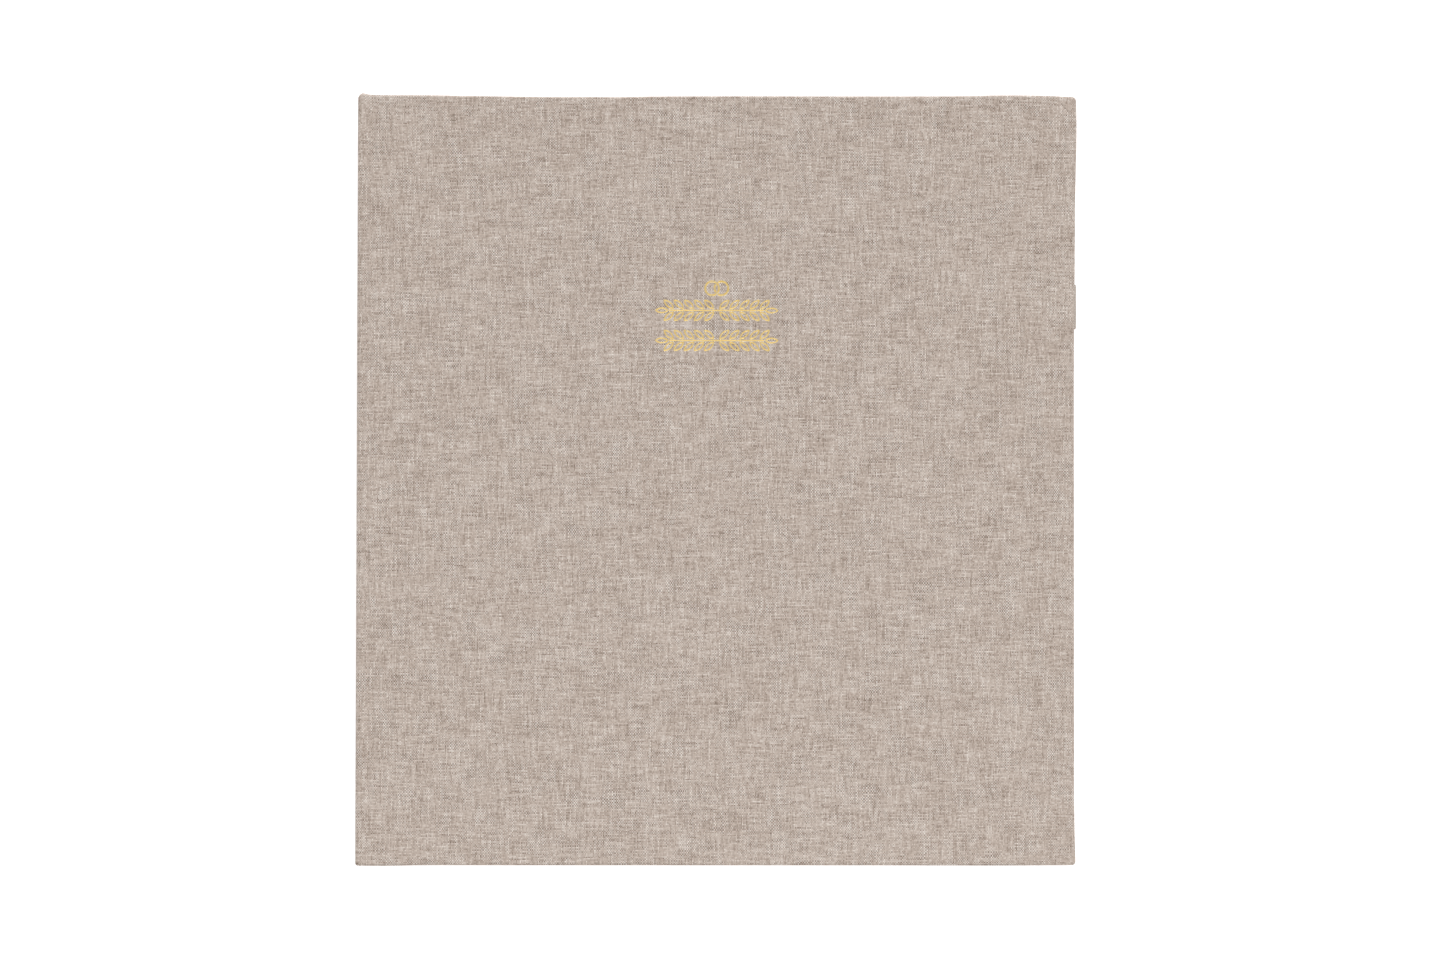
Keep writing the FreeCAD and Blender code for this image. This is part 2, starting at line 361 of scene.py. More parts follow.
def bumped(tree, shader, height, depth, strength=1.0):
    node = tree.nodes.new("ShaderNodeBump")
    node.inputs["Distance"].default_value = depth
    node.inputs["Strength"].default_value = strength
    joined(tree, node.inputs["Height"], height)
    joined(tree, shader.inputs["Normal"], node.outputs[0])


WEAVE = weave_group()
PAPER = paper_group()

LINEN_DARK = (0.20, 0.145, 0.105, 1)
LINEN_MID = (0.566, 0.464, 0.398, 1)
LINEN_PALE = (0.87, 0.81, 0.755, 1)


def linen_colour(tree, cloth):
    """Taupe linen from its threads' tones, with painted shade between the threads, and a little cloudy."""
    shade = mixed(tree, ranged(tree, cloth["Tone"], 0.0, 0.5), LINEN_DARK, LINEN_MID)
    shade = mixed(tree, ranged(tree, cloth["Tone"], 0.5, 1.0), shade, LINEN_PALE)
    # Painted shade: between the threads the colour is mixed toward a dark brown.
    painted_gap_shade = maths(tree, "MULTIPLY", cloth["Gap"], 0.72)
    return mixed(tree, painted_gap_shade, shade, (0.25, 0.20, 0.165, 1))


def linen_finish():
    made, tree, shader = finish("taupe_linen", 0.9, Sheen_Weight=0.15, Sheen_Roughness=0.6)
    cloth = placed(tree, WEAVE, Flat=flat_place(tree))
    joined(tree, shader.inputs["Base Color"], linen_colour(tree, cloth))
    joined(tree, shader.inputs["Roughness"], ranged(tree, cloth["Tone"], 0.0, 1.0, 0.97, 0.78))
    bumped(tree, shader, cloth["Height"], 0.14 * MM)
    return made


def foil_finish():
    """Gold foil on the tops of the threads; the linen shows where the foil didn't take."""
    made, tree, shader = finish("gold_foil", 0.3)
    flat = flat_place(tree)
    cloth = placed(tree, WEAVE, Flat=flat)
    wear = noise(tree, flat, 1.1, 2.0, 0.6)
    bare = maths(tree, "ADD", maths(tree, "MULTIPLY", cloth["Gap"], 0.30), wear)
    taken = ranged(tree, bare, 0.62, 0.74, 1.0, 0.0)
    gold = mixed(tree, wear, (0.86, 0.50, 0.08, 1), (1.0, 0.86, 0.40, 1))
    joined(tree, shader.inputs["Base Color"], mixed(tree, taken, linen_colour(tree, cloth), gold))
    joined(tree, shader.inputs["Metallic"], maths(tree, "MULTIPLY", taken, 0.55))
    joined(tree, shader.inputs["Roughness"], mixed(tree, taken, 0.85, 0.36, "FLOAT"))
    bumped(tree, shader, cloth["Height"], 0.05 * MM, 0.6)
    return made


def cotton_finish(name, colour, pale, pitch):
    made, tree, shader = finish(name, 0.9)
    cloth = placed(tree, WEAVE, Flat=flat_place(tree), Warp=pitch, Weft=pitch)
    shade = mixed(tree, cloth["Tone"], colour, pale)
    # Painted shade between the threads: there the colour is mixed toward a dark brown.
    shade = mixed(tree, maths(tree, "MULTIPLY", cloth["Gap"], 0.6), shade, (0.33, 0.29, 0.23, 1))
    joined(tree, shader.inputs["Base Color"], shade)
    bumped(tree, shader, cloth["Height"], 0.08 * MM)
    return made


def paper_finish(name, dark, pale, scale=900.0, roughness=0.85, depth=0.012, flecks=None):
    made, tree, shader = finish(name, roughness)
    paper = placed(tree, PAPER, Place=own_place(tree), Scale=scale)
    shade = mixed(tree, ranged(tree, paper["Fibre"], 0.35, 0.65), dark, pale)
    if flecks is not None:
        shade = mixed(tree, paper["Fleck"], shade, flecks)
    joined(tree, shader.inputs["Base Color"], shade)
    matte = ranged(tree, paper["Fibre"], 0.3, 0.7, roughness + 0.08, roughness - 0.06)
    joined(tree, shader.inputs["Roughness"], matte)
    bumped(tree, shader, paper["Height"], depth * MM)
    return made


RULE_PITCH = 12.0  # millimetres between the writing lines
RULE_HALF_HEIGHT = 114.0
RULE_FROM = 22.0
RULE_TO = 247.0


def page_finish():
    """Ivory paper with fine printed writing lines on the faces of the leaves."""
    made, tree, shader = finish("ivory_page", 0.82)
    place = own_place(tree)
    paper = placed(tree, PAPER, Place=place)
    fibres = ranged(tree, paper["Fibre"], 0.35, 0.65)
    shade = mixed(tree, fibres, (0.73, 0.67, 0.575, 1), (0.78, 0.725, 0.64, 1))
    split = tree.nodes.new("ShaderNodeSeparateXYZ")
    joined(tree, split.inputs[0], place)
    x = maths(tree, "MULTIPLY", maths(tree, "SUBTRACT", split.outputs[0], page_low.x), 1 / MM)
    y = maths(tree, "MULTIPLY", split.outputs[1], 1 / MM)
    line = maths(tree, "PINGPONG", y, RULE_PITCH / 2)
    line = ranged(tree, line, 0.10, 0.20, 1.0, 0.0)
    for low, high, value in ((-1, RULE_HALF_HEIGHT, y), (RULE_FROM, RULE_TO, x)):
        if low < 0:
            value = maths(tree, "ABSOLUTE", value)
        line = maths(tree, "MULTIPLY", line, maths(tree, "GREATER_THAN", value, low))
        line = maths(tree, "MULTIPLY", line, maths(tree, "LESS_THAN", value, high))
    normal = tree.nodes.new("ShaderNodeSeparateXYZ")
    joined(tree, normal.inputs[0], tree.nodes.new("ShaderNodeTexCoord").outputs["Normal"])
    facing = maths(tree, "GREATER_THAN", maths(tree, "ABSOLUTE", normal.outputs[2]), 0.9)
    line = maths(tree, "MULTIPLY", maths(tree, "MULTIPLY", line, facing), 0.75)
    # Painted shade between the leaves: seen from their edges, the leaves are darkened unevenly, singly and by the
    # handful.
    layers = maths(tree, "MULTIPLY", split.outputs[2], 1100.0)
    stack = vector(tree, maths(tree, "MULTIPLY", x, 0.02), maths(tree, "MULTIPLY", y, 0.02), layers)
    leaves = ranged(tree, noise(tree, stack, 1.0, 3.0, 0.75), 0.30, 0.62, 0.75, 0.0)
    leaves = maths(tree, "MULTIPLY", leaves, maths(tree, "SUBTRACT", 1.0, facing))
    shade = mixed(tree, leaves, shade, (0.46, 0.39, 0.31, 1))
    joined(tree, shader.inputs["Base Color"], mixed(tree, line, shade, (0.50, 0.40, 0.25, 1)))
    joined(tree, shader.inputs["Roughness"], ranged(tree, paper["Fibre"], 0.3, 0.7, 0.9, 0.76))
    bumped(tree, shader, paper["Height"], 0.012 * MM)
    return made


def band_finish():
    """Silk wound in stripes of cream and taupe; the flat map runs along the bead."""
    made, tree, shader = finish("band_silk", 0.45, Sheen_Weight=0.3)
    split = tree.nodes.new("ShaderNodeSeparateXYZ")
    joined(tree, split.inputs[0], flat_place(tree))
    wind = maths(tree, "PINGPONG", split.outputs[1], 0.4)
    stripe = maths(tree, "PINGPONG", maths(tree, "FLOOR", maths(tree, "DIVIDE", split.outputs[1], 2.4)), 1.0)
    shade = mixed(tree, stripe, (0.80, 0.74, 0.64, 1), (0.38, 0.29, 0.23, 1))
    # Painted shade in the grooves between the windings.
    shade = mixed(tree, ranged(tree, wind, 0.0, 0.14, 0.5, 0.0), shade, (0.20, 0.16, 0.12, 1))
    joined(tree, shader.inputs["Base Color"], shade)
    bumped(tree, shader, ranged(tree, wind, 0.0, 0.3), 0.08 * MM)
    return made


RIB = 0.95  # millimetres from rib to rib of the elastic


def elastic_finish():
    made, tree, shader = finish("ribbed_elastic", 0.8, Sheen_Weight=0.2)
    split = tree.nodes.new("ShaderNodeSeparateXYZ")
    joined(tree, split.inputs[0], flat_place(tree))
    rib = maths(tree, "PINGPONG", split.outputs[1], RIB / 2)
    rib = ranged(tree, rib, 0.0, RIB / 2)
    yarn = maths(tree, "PINGPONG", split.outputs[0], 0.19)
    yarn = ranged(tree, yarn, 0.0, 0.12)
    cloudy = noise(tree, flat_place(tree), 1.6, 2.0)
    # Painted shade and highlight: the ribs are paler on their crests and darker in their valleys.
    shade = mixed(tree, rib, (0.34, 0.28, 0.23, 1), (0.66, 0.575, 0.50, 1))
    # Painted shade in the grooves between the yarns.
    between = maths(tree, "MULTIPLY", maths(tree, "SUBTRACT", 1.0, yarn), 0.4)
    shade = mixed(tree, between, shade, (0.30, 0.25, 0.21, 1))
    shade = mixed(tree, maths(tree, "MULTIPLY", cloudy, 0.3), shade, (0.76, 0.70, 0.63, 1))
    joined(tree, shader.inputs["Base Color"], shade)
    bumped(tree, shader, yarn, 0.06 * MM)
    return made


LINEN = linen_finish()
FOIL = foil_finish()
PAGE = page_finish()
ENDPAPER = paper_finish("ivory_endpaper", (0.69, 0.62, 0.52, 1), (0.76, 0.705, 0.61, 1), 700.0)
GREYBOARD = paper_finish(
    "grey_board", (0.22, 0.20, 0.17, 1), (0.36, 0.33, 0.29, 1), 500.0, 0.9, 0.05, (0.12, 0.10, 0.09, 1)
)
CARD = paper_finish("lining_card", (0.50, 0.43, 0.33, 1), (0.62, 0.55, 0.44, 1), 600.0, 0.88, 0.02)
MULL = cotton_finish("open_mull", (0.62, 0.58, 0.49, 1), (0.80, 0.77, 0.70, 1), 0.9)
TAPE = cotton_finish("linen_tape", (0.66, 0.62, 0.54, 1), (0.84, 0.81, 0.74, 1), 0.5)
SILK = band_finish()
ELASTIC = elastic_finish()


# The linen over the case, in two pieces: the front one runs over the spine's face, the back one meets it where
# that face ends at the bottom.


def head_wander(x):
    """How far the head edge stands out from a straight line: the cap at the spine, then a board that was
    cut and covered by hand."""
    t = (x - X_SPINE) / MM
    cap = 0.65 * hump(t, 2.1, 1.5) - 0.45 * hump(t, 0, 0.7) + 0.12 * hump(t, 4.4, 2.0)
    slow = 0.33 + 0.12 * hump(t, 26, 20) - 0.58 * hump(t, 80, 42) - 0.12 * hump(t, 101, 7)
    far = -0.10 * hump(t, 175, 50) + 0.45 * hump(t, 255, 18) - 0.22 * hump(t, 277, 5)
    return (cap + slow + far) * MM


def tail_wander(x):
    t = (x - X_SPINE) / MM
    near = 0.22 * hump(t, 12, 9) + 0.10 * hump(t, 2, 5)
    return (0.40 - 0.0008 * t + near + 0.05 * hump(t, 245, 22) - 0.08 * hump(t, 275, 15)) * MM


def fore_wander(y):
    t = (Y_HEAD - y) / MM
    return (-0.22 + 1.05 * hump(t, 10, 25) + 0.40 * hump(t, 55, 35) + 0.50 * hump(t, 300, 14)) * MM


CREASE_FROM = Vector((X_FORE - 7.1 * MM, Y_HEAD - 2.4 * MM))
CREASE_TO = Vector((X_FORE - 1.6 * MM, Y_HEAD - 7.4 * MM))


def crease(x, y):
    """Depth of the pressed fold across the front cover's corner, and the drop of the corner past it."""
    at = Vector((x, y)) - CREASE_FROM
    way = CREASE_TO - CREASE_FROM
    along = at.dot(way) / way.length_squared
    off = (way.x * at.y - way.y * at.x) / way.length
    fade = ease((along + 0.22) / 0.2) * ease((1.12 - along) / 0.2)
    fold = 0.26 * math.exp(-((off / (0.42 * MM)) ** 2)) * fade
    drop = 0.16 * ease(off / (2.5 * MM)) * ease((1.6 - abs(along - 0.5)) / 0.6)
    return (fold + drop) * MM


def pulled(place, flat, front):
    """Moves a point of the case's skin with its uneven edges."""
    x, y = place.x, place.y
    near_head = ease((y - (Y_HEAD - 34 * MM)) / (34 * MM))
    near_tail = ease(((Y_TAIL + 34 * MM) - y) / (34 * MM))
    near_fore = ease((x - (X_FORE - 34 * MM)) / (34 * MM))
    y += near_head * head_wander(x) - near_tail * tail_wander(x)
    x += near_fore * fore_wander(y)
    drop = crease(place.x, place.y) if front and place.z > Z_TOP - 1.5 * MM else 0
    return Vector((x, y, place.z - drop)), flat


def path(front):
    """The linen's way from the spine to the fore-edge, as (x, height over the middle, outward normal,
    length from the middle of the spine, depth of what it wraps). The front piece has the spine's face."""
    rise = Z_MIDDLE - SPINE_EDGE
    board_end = Z_MIDDLE - 5 * MM
    stations = []
    levels = [rise]
    if front:
        levels += steps(-rise, -board_end, 0.5 * MM) + steps(-board_end, board_end, 1.6 * MM)
        levels += steps(board_end, rise, 0.5 * MM)
    for h in sorted(set(levels)):
        depth = SPINE_DEPTH + (JOINT_DEPTH - SPINE_DEPTH) * ease((abs(h) - board_end) / (0.8 * MM))
        stations.append((X_SPINE, h, (-1.0, 0.0), h, depth))
    for sine, cosine in arc(SPINE_EDGE, 7)[1:]:
        turned = math.atan2(sine, cosine)
        x = X_SPINE + SPINE_EDGE - cosine
        normal = (-math.cos(turned), math.sin(turned))
        stations.append((x, rise + sine, normal, rise + SPINE_EDGE * turned, JOINT_DEPTH))
    start = X_SPINE + SPINE_EDGE
    length = rise + SPINE_EDGE * math.pi / 2
    marks = steps(start, X_COVER + 1 * MM, 0.3 * MM)
    marks += steps(X_COVER + 1 * MM, X_COVER + 12 * MM, 1.4 * MM)
    marks += steps(X_COVER + 12 * MM, X_FORE - TURN_IN, 4.5 * MM)
    marks += steps(X_FORE - TURN_IN, X_FORE - CORNER, 0.35 * MM)
    for x in sorted(set(marks))[1:]:
        grown = ease((x - (X_COVER - 0.5 * MM)) / (0.9 * MM))
        depth = JOINT_DEPTH + (COVER_DEPTH - JOINT_DEPTH) * grown
        stations.append((x, Z_MIDDLE, (0.0, 1.0), length + x - start, depth))
    return stations


def wrap(depth):
    """The linen's way over an edge, as (distance in from the edge, depth under the outer face, length)."""
    outer = min(BOARD_EDGE, depth * 0.55)
    inner = min(INNER_EDGE, depth * 0.35)
    way = [(inset, 0.0) for inset in parts(TURN_IN, outer, 26)]
    way += [(outer - sine, outer - cosine) for sine, cosine in arc(outer, 6)[1:]]
    way += [(0.0, outer + (depth - inner - outer) * k / 2) for k in (1, 2)]
    way += [(inner - cosine, depth - inner + sine) for sine, cosine in arc(inner, 4)[1:]]
    way += [(inset, depth) for inset in parts(inner, TURN_IN, 5)[1:]]
    wrapped = []
    length = 0.0
    for k, (inset, down) in enumerate(way):
        if k:
            length += math.hypot(inset - way[k - 1][0], down - way[k - 1][1])
        wrapped.append((inset, down, length))
    return wrapped


def linen_case(name, front):
    """One cover and the spine's edge next to it, with the spine's face too for the front piece: an inner field,
    and a border that runs round its three edges.
    """
    skin = Skin()
    side = 1 if front else -1
    stations = path(front)
    ys = steps(Y_TAIL + TURN_IN, Y_HEAD - TURN_IN, 5 * MM)

    def put(x, y, h, across, along):
        return pulled(Vector((x, y, Z_MIDDLE + side * h)), (across / MM, side * along / MM), front)

    field = []
    for x, h, normal, length, depth in stations:
        if x <= X_FORE - TURN_IN + 1e-7:
            field.append([put(x, y, h, length, y) for y in ys])
    skin.patch(field, flip=front)

    border = []
    whole = stations[-1][3] + CORNER  # length of the path, to the fore-edge

    def end_column(station, edge, way):
        x, h, normal, length, depth = station
        column = []
        for inset, down, run in wrap(depth):
            held = min(x, X_FORE - max(CORNER, inset))
            place = put(held - normal[0] * down, edge - way * inset, h - normal[1] * down, 0, 0)[0]
            column.append((place, ((length - x + held) / MM, side * (edge - way * (TURN_IN - run)) / MM)))
        return column

    def corner_column(turned, edge, way):
        column = []
        for inset, down, run in wrap(COVER_DEPTH):
            radius = max(CORNER - inset, 0)
            held = max(CORNER, inset)
            x = X_FORE - held + radius * math.sin(turned)
            y = edge - way * (held - radius * math.cos(turned))
            flat_x = whole - held + (run - TURN_IN + held) * math.sin(turned)
            flat_y = edge - way * (held - (run - TURN_IN + held) * math.cos(turned))
            place = put(x, y, Z_MIDDLE - down, 0, 0)[0]
            column.append((place, (flat_x / MM, side * flat_y / MM)))
        return column

    def fore_column(y):
        column = []
        for inset, down, run in wrap(COVER_DEPTH):
            held = max(CORNER, inset)
            at = max(Y_TAIL + held, min(Y_HEAD - held, y))
            place = put(X_FORE - inset, at, Z_MIDDLE - down, 0, 0)[0]
            column.append((place, ((whole - TURN_IN + run) / MM, side * at / MM)))
        return column

    turns = steps(0, math.pi / 2, math.pi / 14)
    border += [end_column(station, Y_HEAD, 1) for station in stations]
    border += [corner_column(turned, Y_HEAD, 1) for turned in turns]
    near_head = steps(Y_HEAD - CORNER, Y_HEAD - TURN_IN, 0.35 * MM)
    near_tail = steps(Y_TAIL + TURN_IN, Y_TAIL + CORNER, 0.9 * MM)
    border += [fore_column(y) for y in near_head + ys[::-1] + near_tail]
    border += [corner_column(turned, Y_TAIL, -1) for turned in turns[::-1]]
    border += [end_column(station, Y_TAIL, -1) for station in stations[::-1]]
    skin.patch(border, flip=front)

    made = skin.piece(name, LINEN)
    body = made.modifiers.new("cloth thickness", "SOLIDIFY")
    body.thickness = CLOTH * 0.9
    body.offset = -1
    return made


front_linen = linen_case("front_linen_cover", True)
back_linen = linen_case("back_linen_cover", False)
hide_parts("front_linen", "spine_linen")
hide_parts("back_linen")
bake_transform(front_linen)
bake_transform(back_linen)


# The leaves.


def folded_sheet(skin, back, fore, low, high, thick, y0, y1):
    """One sheet folded at its back into two leaves, from z low to high."""
    half = (high - low) / 2
    bulge = min(half, 0.6 * MM)

    def line(inset):
        reach = half - inset
        points = [(fore, low + inset), (fore - 40 * MM, low + inset)]
        points += [(x, low + inset) for x in steps(fore - 80 * MM, back + bulge, 60 * MM)]
        turned = steps(-math.pi / 2, math.pi / 2, math.pi / 6)
        for a in turned[1:-1]:
            points.append((back + bulge - (bulge - inset) * math.cos(a), low + half + reach * math.sin(a)))
        upper = [(x, 2 * (low + half) - z) for x, z in points[: len(points) - len(turned) + 2][::-1]]
        return points + upper

    rows = []
    for y in (y0, y0 + 60 * MM, (y0 + y1) / 2, y1 - 60 * MM, y1):
        outer = [(Vector((x, y, z)), (x / MM, y / MM)) for x, z in line(0)]
        inner = [(Vector((x, y, z)), (x / MM, y / MM)) for x, z in line(thick)]
        rows.append(outer + inner[::-1])
    skin.patch(rows, closed=True)
    count = len(rows[0]) // 2
    for row, flip in ((rows[0], False), (rows[-1], True)):
        for k in range(count - 1):
            skin.cap([row[k], row[k + 1], row[-2 - k], row[-1 - k]], flip)


def gathering(number, body):
    """Four sheets folded one inside the other, trimmed a little unevenly."""
    node = f"signature_{number:02d}"
    low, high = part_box(node)
    draw = random.Random(400 + number)
    skin = Skin()
    leaf = (high.z - low.z) / 8
    inset = draw.uniform(0.0, 0.28)
    for k in range(4):
        fore = high.x - (inset + abs(draw.gauss(0, 0.08))) * MM
        y0 = low.y + (inset / 2 + abs(draw.gauss(0, 0.06))) * MM
        y1 = high.y - (inset / 2 + abs(draw.gauss(0, 0.06))) * MM
        back = low.x + k * leaf
        folded_sheet(skin, back, fore, low.z + k * leaf, high.z - k * leaf, leaf * 0.86, y0, y1)
    made = skin.piece(f"gathering_{number:02d}", PAGE, smooth=False, outward=True)
    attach(made, body)
    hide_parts(node)
    return made


for number in range(1, 6):
    gathering(number, "back_cover")
    gathering(number + 5, "upper_pages")


def single_leaf(number):
    """A leaf that turns by itself, with corners eased by the trimming knife."""
    node = f"leaf_{number}"
    low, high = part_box(node)
    draw = random.Random(70 + number)
    ease_by = 0.8 * MM
    fore = high.x - abs(draw.gauss(0, 0.12)) * MM
    skin = Skin()
    rounded = arc(ease_by, 4)
    rim = [(fore - ease_by + sine, low.y + (ease_by - cosine)) for sine, cosine in rounded]
    rim += [(fore, y) for y in steps(low.y + ease_by, high.y - ease_by, 20 * MM)[1:-1]]
    rim += [(fore - ease_by + sine, high.y - (ease_by - cosine)) for sine, cosine in rounded[::-1]]
    rim += [(low.x, high.y), (low.x, low.y)]
    rows = [[(Vector((x, y, z)), (x / MM, y / MM)) for x, y in rim] for z in (low.z, high.z)]
    skin.patch(rows, closed=True)
    skin.cap(rows[0], True)
    skin.cap(rows[1])
    made = skin.piece(f"turning_leaf_{number}", PAGE, smooth=False, outward=True)
    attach(made, node)
    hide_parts(node)
    return made


for number in range(1, 5):
    single_leaf(number)


# Headbands and tailbands.


def end_band(node, body):
    """A wound bead on the edge of the pages, with its cloth tongue down their backs."""
    low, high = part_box(node)
    at_head = high.y > 0
    bead = 0.9 * MM
    edge = page_high.y if at_head else page_low.y
    middle_y = edge + (bead if at_head else -bead) * 0.92
    middle_x = page_low.x + 0.5 * MM
    skin = Skin()
    rows = []
    for z in steps(low.z, high.z, 0.1 * MM):
        wound = 0.9 + 0.1 * abs(math.sin(math.pi * z / (0.8 * MM)))
        around = steps(0, 2 * math.pi, math.pi / 8)[:-1]
        rows.append(
            [
                (
                    Vector((middle_x + bead * wound * math.cos(a), middle_y + bead * wound * math.sin(a), z)),
                    (a * 0.9, z / MM + a * 0.25 / math.pi),
                )
                for a in around
            ]
        )
    skin.patch(rows, closed=True)
    skin.cap(rows[0], True)
    skin.cap(rows[-1])
    inner = low.y if at_head else high.y
    tongue = [(low.x, inner), (low.x, middle_y), (low.x + 0.35 * MM, middle_y), (low.x + 0.35 * MM, inner)]
    rows = []
    for z in steps(low.z, high.z, 1.5 * MM):
        rows.append([(Vector((x, y, z)), (y / MM, z / MM)) for x, y in tongue])
    skin.patch(rows, closed=True)
    skin.cap(rows[0], True)
    skin.cap(rows[-1])
    made = skin.piece(f"{node}_wound", SILK, outward=True)
    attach(made, body)
    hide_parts(node)


for half, body in (("lower", "back_cover"), ("upper", "upper_pages")):
    end_band(f"headband_{half}", body)
    end_band(f"tailband_{half}", body)


# The pen loop.


def tape_outline(way, thick):
    """Both faces of a tape that follows the way, as a closed line."""
    outer = []
    inner = []
    for k, (x, z) in enumerate(way):
        before = way[max(k - 1, 0)]
        after = way[min(k + 1, len(way) - 1)]
        along = Vector((after[0] - before[0], after[1] - before[1])).normalized()
        outer.append((x + along.y * thick / 2, z - along.x * thick / 2))
        inner.append((x - along.y * thick / 2, z + along.x * thick / 2))
    return outer + inner[::-1]


def pen_loop():
    low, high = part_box("pen_loop")
    thick = 0.8 * MM
    x1 = high.x - thick / 2
    x0 = high.x - 6.4 * MM + thick / 2
    foot = 5.0 * MM + thick / 2
    top = high.z - thick / 2
    bend = 1.9 * MM
    way = []
    corners = ((x0, foot, math.pi), (x0, top, math.pi / 2), (x1, top, 0.0), (x1, foot, -math.pi / 2))
    for cx, cz, start in corners:
        inx = cx + (bend if cx == x0 else -bend)
        inz = cz + (bend if cz == foot else -bend)
        for a in steps(start + math.pi / 2, start, math.pi / 12):
            way.append((inx + bend * math.cos(a), inz + bend * math.sin(a)))
    fine = []
    for k, (x, z) in enumerate(way):
        after = way[(k + 1) % len(way)]
        gap = math.hypot(after[0] - x, after[1] - z)
        count = max(1, round(gap / (1.0 * MM)))
        for m in range(count):
            fine.append((x + (after[0] - x) * m / count, z + (after[1] - z) * m / count))
    # A slack, unused elastic: its outer side sinks in and its top sags.
    middle = (top + foot) / 2
    bowed = []
    for x, z in fine:
        sink = 0.2 * MM * max(0.0, 1 - ((z - middle) / (top - foot) * 2) ** 2) if x > (x0 + x1) / 2 else 0
        sag = 0.35 * MM * max(0.0, 1 - ((x - (x0 + x1) / 2) / (x1 - x0) * 2) ** 2) if z > middle else 0
        bowed.append((x - sink, z - sag))
    skin = Skin()
    rows = []
    for y in steps(low.y, high.y, RIB * MM / 6):
        rib = 0.5 - 0.5 * math.cos(2 * math.pi * y / (RIB * MM))
        rim = min(1.0, (y - low.y) / (0.5 * MM), (high.y - y) / (0.5 * MM))
        half = thick / 2 * (0.58 + 0.42 * rib) * (0.55 + 0.45 * math.sqrt(max(rim, 0)))
        row = []
        length = 0.0
        for k, (x, z) in enumerate(bowed):
            before = bowed[k - 1]
            after = bowed[(k + 1) % len(bowed)]
            along = Vector((after[0] - before[0], after[1] - before[1])).normalized()
            length += math.hypot(x - before[0], z - before[1]) if k else 0
            row.append((x, z, along, half, length))
        x, z, along, half, start = row[0]
        row.append((x, z, along, half, length + math.hypot(x - bowed[-1][0], z - bowed[-1][1])))
        rows.append((y, row))
    for way_out in (1, -1):
        patch = []
        for y, row in rows:
            patch.append(
                [
                    (Vector((x - way_out * a.y * h, y, z + way_out * a.x * h)), (length / MM, y / MM))
                    for x, z, a, h, length in row
                ]
            )
        skin.patch(patch)
    for y, row in (rows[0], rows[-1]):
        edge = [
            [
                (Vector((x - side * a.y * h, y, z + side * a.x * h)), (length / MM, (y + side * h) / MM))
                for side in (1, -1)
            ]
            for x, z, a, h, length in row
        ]
        skin.patch(edge)
    # The tongue: from under the loop, down into the back cover and in below the pastedown.
    tongue_z = low.z + thick / 2
    neck_x = x0 - thick / 2 + 2.4 * MM
    way = [(low.x, tongue_z), (neck_x - 1.2 * MM, tongue_z)]
    way += [(neck_x - 1.2 * MM + s, tongue_z + 0.6 * MM - c * 0.5) for s, c in arc(1.2 * MM, 5)[1:]]
    way += [(neck_x, foot - 0.1 * MM)]
    outline = tape_outline(way, thick)
    patch = [
        [(Vector((x, y, z)), ((x + z) / MM, y / MM)) for x, z in outline]
        for y in steps(low.y + 0.3 * MM, high.y - 0.3 * MM, 2 * MM)
    ]
    skin.patch(patch, closed=True)
    for row in (patch[0], patch[-1]):
        half = len(row) // 2
        for k in range(half - 1):
            skin.cap([row[k], row[k + 1], row[-2 - k], row[-1 - k]])
    made = skin.piece("elastic_pen_loop", ELASTIC, outward=True)
    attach(made, "back_cover")
    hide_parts("pen_loop")


pen_loop()


# The foil ornament: lines of foil that dip with the threads under them.

LEAF_LINE = 0.64 * MM
RING_LINE = 0.9 * MM
foil_low, foil_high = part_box("foil_ornament")
FOIL_X = (foil_low.x + foil_high.x) / 2


def foil_stroke(skin, points, closed=False, line_width=LEAF_LINE):
    """A ribbon of foil along the points, a little domed and let into the weave."""
    line = []
    for k in range(len(points) if closed else len(points) - 1):
        a, b = Vector(points[k]), Vector(points[(k + 1) % len(points)])
        count = max(1, round((b - a).length / (0.11 * MM)))
        line += [a + (b - a) * m / count for m in range(count)]
    if not closed:
        line.append(Vector(points[-1]))
    rows = []
    for k, at in enumerate(line):
        before = line[k - 1] if closed or k else line[0]
        after = line[(k + 1) % len(line)] if closed or k < len(line) - 1 else line[-1]
        along = (after - before).normalized()
        side = Vector((-along.y, along.x))
        row = []
        for share in (-1, -0.6, -0.2, 0.2, 0.6, 1):
            x, y = at + side * share * line_width / 2
            thread = math.sin(math.pi * x / (WARP * MM)) * math.sin(math.pi * y / (WEFT * MM))
            rise = 0.045 * (1 - share**4) + 0.012 * thread - (0.02 if abs(share) == 1 else 0)
            row.append((Vector((x, y, Z_TOP + rise * MM)), (x / MM, y / MM)))
        rows.append(row)
    if closed:
        rows.append(rows[0])
    skin.patch(rows, flip=True)


def ring_points(x, y, radius, start=0.0, end=2 * math.pi):
    return [(x + radius * math.cos(a), y + radius * math.sin(a)) for a in steps(start, end, math.pi / 36)]


def leaflet_points(x, y, turned, length, width):
    """A pointed leaf's outline from its stalk end."""
    rise = width / 2
    radius = (length * length / 4 + rise * rise) / (2 * rise)
    spread = math.asin(length / 2 / radius)
    way = steps(-spread, spread, spread / 9)
    over = [(length / 2 + radius * math.sin(a), radius * math.cos(a) - radius + rise) for a in way]
    under = [(px, -py) for px, py in over[::-1]][1:-1]
    c, s = math.cos(turned), math.sin(turned)
    return [(x + px * c - py * s, y + px * s + py * c) for px, py in over + under]


